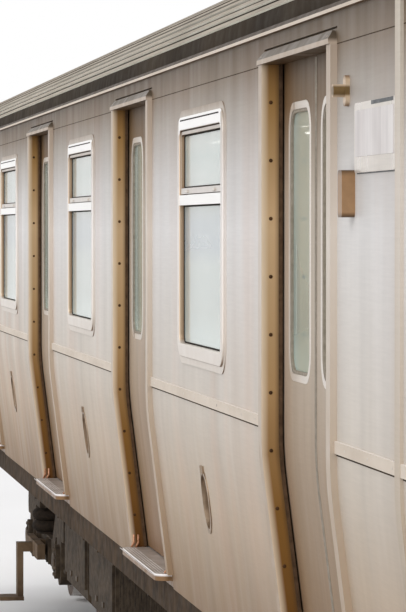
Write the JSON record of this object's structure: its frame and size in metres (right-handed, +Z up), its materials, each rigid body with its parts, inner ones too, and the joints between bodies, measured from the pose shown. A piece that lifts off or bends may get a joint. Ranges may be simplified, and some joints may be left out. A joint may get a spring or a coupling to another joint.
{
  "type": "metro car",
  "caption": "Stainless steel metro car with sliding double doors, a ribbed roof, hinged end doors, two turning bogies and swinging couplers.",
  "frame": {"origin": "centre of the car at the level of the wheel flange tips, where it stands", "axes": "+X along the car towards the cab end, +Y to its left side, +Z up"},
  "size_m": [18.35, 3.06, 3.77],
  "materials": {
    "bogie_paint": "dusty black paint",
    "bright_steel": "bright stainless steel",
    "cast_steel": "cast steel",
    "cup_steel": "dull pressed steel",
    "dark_steel": "dark underframe paint",
    "desk_panel": "dark grey moulded desk",
    "door_frame_steel": "warm, brown-toned steel",
    "end_steel": "satin stainless steel",
    "equipment_paint": "dark grey paint",
    "floor_covering": "dark composite flooring",
    "glass": "pale green safety glass",
    "insulated_beam": "oiled hardwood beam",
    "lamp_glass": "clear lens",
    "leaf_steel": "satin steel",
    "light_panel": "white diffuser",
    "lining_panel": "cream panel",
    "motor_casting": "dusty casting",
    "polished_steel": "polished steel tube",
    "roof_steel": "ribbed stainless steel, dull",
    "seat_plastic": "moulded seat",
    "side_steel": "brushed stainless steel",
    "sign_panel": "blank white panel",
    "spring_rubber": "rubber bellows",
    "tread_plate": "grained tread plate",
    "wheel_steel": "forged steel"
  },
  "bodies": {
    "car_body": {"anticlimbers": "dark_steel", "cab_desk": "desk_panel", "cab_wall": "lining_panel", "ceiling_lights": "light_panel", "centre_pins_and_forks": "dark_steel", "door_frames": "door_frame_steel", "end_handrails": "polished_steel", "end_wall_front": "end_steel", "end_wall_rear": "end_steel", "equipment_boxes": "equipment_paint", "floor": "floor_covering", "grab_poles": "polished_steel", "lamps": "lamp_glass", "letterboards": "side_steel", "roof": "roof_steel", "seats": "seat_plastic", "side_rails": "side_steel", "side_wall_left": "side_steel", "side_wall_right": "side_steel", "signs": "sign_panel", "step_cups": "cup_steel", "threshold_plates": "tread_plate", "underframe": "dark_steel", "window_frames": "bright_steel", "window_glass": "glass"},
    "leaf_left_1_fore": {"door_leaf_left_1_fore": "leaf_steel"},
    "leaf_left_1_aft": {"door_leaf_left_1_aft": "leaf_steel"},
    "leaf_left_2_fore": {"door_leaf_left_2_fore": "leaf_steel"},
    "leaf_left_2_aft": {"door_leaf_left_2_aft": "leaf_steel"},
    "leaf_left_3_fore": {"door_leaf_left_3_fore": "leaf_steel"},
    "leaf_left_3_aft": {"door_leaf_left_3_aft": "leaf_steel"},
    "leaf_left_4_fore": {"door_leaf_left_4_fore": "leaf_steel"},
    "leaf_left_4_aft": {"door_leaf_left_4_aft": "leaf_steel"},
    "leaf_right_1_fore": {"door_leaf_right_1_fore": "leaf_steel"},
    "leaf_right_1_aft": {"door_leaf_right_1_aft": "leaf_steel"},
    "leaf_right_2_fore": {"door_leaf_right_2_fore": "leaf_steel"},
    "leaf_right_2_aft": {"door_leaf_right_2_aft": "leaf_steel"},
    "leaf_right_3_fore": {"door_leaf_right_3_fore": "leaf_steel"},
    "leaf_right_3_aft": {"door_leaf_right_3_aft": "leaf_steel"},
    "leaf_right_4_fore": {"door_leaf_right_4_fore": "leaf_steel"},
    "leaf_right_4_aft": {"door_leaf_right_4_aft": "leaf_steel"},
    "end_door_front": {"end_door_front": "leaf_steel"},
    "end_door_rear": {"end_door_rear": "leaf_steel"},
    "cab_door": {"cab_door": "lining_panel"},
    "bogie_front": {"air_springs_front": "spring_rubber", "bogie_frame_front": "bogie_paint", "collector_shoes_front": "insulated_beam", "traction_motors_front": "motor_casting"},
    "wheelset_front_fore": {"wheelset_front_fore": "wheel_steel"},
    "wheelset_front_aft": {"wheelset_front_aft": "wheel_steel"},
    "coupler_front": {"coupler_front": "cast_steel"},
    "bogie_rear": {"air_springs_rear": "spring_rubber", "bogie_frame_rear": "bogie_paint", "collector_shoes_rear": "insulated_beam", "traction_motors_rear": "motor_casting"},
    "wheelset_rear_fore": {"wheelset_rear_fore": "wheel_steel"},
    "wheelset_rear_aft": {"wheelset_rear_aft": "wheel_steel"},
    "coupler_rear": {"coupler_rear": "cast_steel"}
  },
  "joints": [
    {"name": "slide_left_1_fore", "type": "slide", "parent": "car_body", "child": "leaf_left_1_fore", "axis": [1, 0, 0], "range_m": [0, 0.612]},
    {"name": "slide_left_1_aft", "type": "slide", "parent": "car_body", "child": "leaf_left_1_aft", "axis": [-1, 0, 0], "range_m": [0, 0.612]},
    {"name": "slide_left_2_fore", "type": "slide", "parent": "car_body", "child": "leaf_left_2_fore", "axis": [1, 0, 0], "range_m": [0, 0.612]},
    {"name": "slide_left_2_aft", "type": "slide", "parent": "car_body", "child": "leaf_left_2_aft", "axis": [-1, 0, 0], "range_m": [0, 0.612]},
    {"name": "slide_left_3_fore", "type": "slide", "parent": "car_body", "child": "leaf_left_3_fore", "axis": [1, 0, 0], "range_m": [0, 0.612]},
    {"name": "slide_left_3_aft", "type": "slide", "parent": "car_body", "child": "leaf_left_3_aft", "axis": [-1, 0, 0], "range_m": [0, 0.612]},
    {"name": "slide_left_4_fore", "type": "slide", "parent": "car_body", "child": "leaf_left_4_fore", "axis": [1, 0, 0], "range_m": [0, 0.612]},
    {"name": "slide_left_4_aft", "type": "slide", "parent": "car_body", "child": "leaf_left_4_aft", "axis": [-1, 0, 0], "range_m": [0, 0.612]},
    {"name": "slide_right_1_fore", "type": "slide", "parent": "car_body", "child": "leaf_right_1_fore", "axis": [1, 0, 0], "range_m": [0, 0.612]},
    {"name": "slide_right_1_aft", "type": "slide", "parent": "car_body", "child": "leaf_right_1_aft", "axis": [-1, 0, 0], "range_m": [0, 0.612]},
    {"name": "slide_right_2_fore", "type": "slide", "parent": "car_body", "child": "leaf_right_2_fore", "axis": [1, 0, 0], "range_m": [0, 0.612]},
    {"name": "slide_right_2_aft", "type": "slide", "parent": "car_body", "child": "leaf_right_2_aft", "axis": [-1, 0, 0], "range_m": [0, 0.612]},
    {"name": "slide_right_3_fore", "type": "slide", "parent": "car_body", "child": "leaf_right_3_fore", "axis": [1, 0, 0], "range_m": [0, 0.612]},
    {"name": "slide_right_3_aft", "type": "slide", "parent": "car_body", "child": "leaf_right_3_aft", "axis": [-1, 0, 0], "range_m": [0, 0.612]},
    {"name": "slide_right_4_fore", "type": "slide", "parent": "car_body", "child": "leaf_right_4_fore", "axis": [1, 0, 0], "range_m": [0, 0.612]},
    {"name": "slide_right_4_aft", "type": "slide", "parent": "car_body", "child": "leaf_right_4_aft", "axis": [-1, 0, 0], "range_m": [0, 0.612]},
    {"name": "end_door_front_hinge", "type": "hinge", "parent": "car_body", "child": "end_door_front", "pos_m": [8.946, 0.375, 1.188], "axis": [0, 0, 1], "range_deg": [-90, 0]},
    {"name": "end_door_rear_hinge", "type": "hinge", "parent": "car_body", "child": "end_door_rear", "pos_m": [-8.946, 0.375, 1.188], "axis": [0, 0, 1], "range_deg": [0, 90]},
    {"name": "cab_door_hinge", "type": "hinge", "parent": "car_body", "child": "cab_door", "pos_m": [7.506, 0.325, 1.188], "axis": [0, 0, 1], "range_deg": [-90, 0]},
    {"name": "bogie_front_turn", "type": "hinge", "parent": "car_body", "child": "bogie_front", "pos_m": [6.75, 0, 0.94], "axis": [0, 0, 1], "range_deg": [-6, 6]},
    {"name": "wheelset_front_fore_turn", "type": "hinge", "parent": "bogie_front", "child": "wheelset_front_fore", "pos_m": [7.7915, 0, 0.46], "axis": [0, 1, 0], "continuous": true},
    {"name": "wheelset_front_aft_turn", "type": "hinge", "parent": "bogie_front", "child": "wheelset_front_aft", "pos_m": [5.7085, 0, 0.46], "axis": [0, 1, 0], "continuous": true},
    {"name": "coupler_front_swing", "type": "hinge", "parent": "car_body", "child": "coupler_front", "pos_m": [8.25, 0, 0.728], "axis": [0, 0, 1], "range_deg": [-12, 12]},
    {"name": "bogie_rear_turn", "type": "hinge", "parent": "car_body", "child": "bogie_rear", "pos_m": [-6.75, 0, 0.94], "axis": [0, 0, 1], "range_deg": [-6, 6]},
    {"name": "wheelset_rear_fore_turn", "type": "hinge", "parent": "bogie_rear", "child": "wheelset_rear_fore", "pos_m": [-5.7085, 0, 0.46], "axis": [0, 1, 0], "continuous": true},
    {"name": "wheelset_rear_aft_turn", "type": "hinge", "parent": "bogie_rear", "child": "wheelset_rear_aft", "pos_m": [-7.7915, 0, 0.46], "axis": [0, 1, 0], "continuous": true},
    {"name": "coupler_rear_swing", "type": "hinge", "parent": "car_body", "child": "coupler_rear", "pos_m": [-8.25, 0, 0.728], "axis": [0, 0, 1], "range_deg": [-12, 12]}
  ],
  "couplings": [
    {"joint": "slide_left_1_aft", "follows": "slide_left_1_fore", "ratio": 1},
    {"joint": "slide_left_2_aft", "follows": "slide_left_2_fore", "ratio": 1},
    {"joint": "slide_left_3_aft", "follows": "slide_left_3_fore", "ratio": 1},
    {"joint": "slide_left_4_aft", "follows": "slide_left_4_fore", "ratio": 1},
    {"joint": "slide_right_1_aft", "follows": "slide_right_1_fore", "ratio": 1},
    {"joint": "slide_right_2_aft", "follows": "slide_right_2_fore", "ratio": 1},
    {"joint": "slide_right_3_aft", "follows": "slide_right_3_fore", "ratio": 1},
    {"joint": "slide_right_4_aft", "follows": "slide_right_4_fore", "ratio": 1}
  ]
}
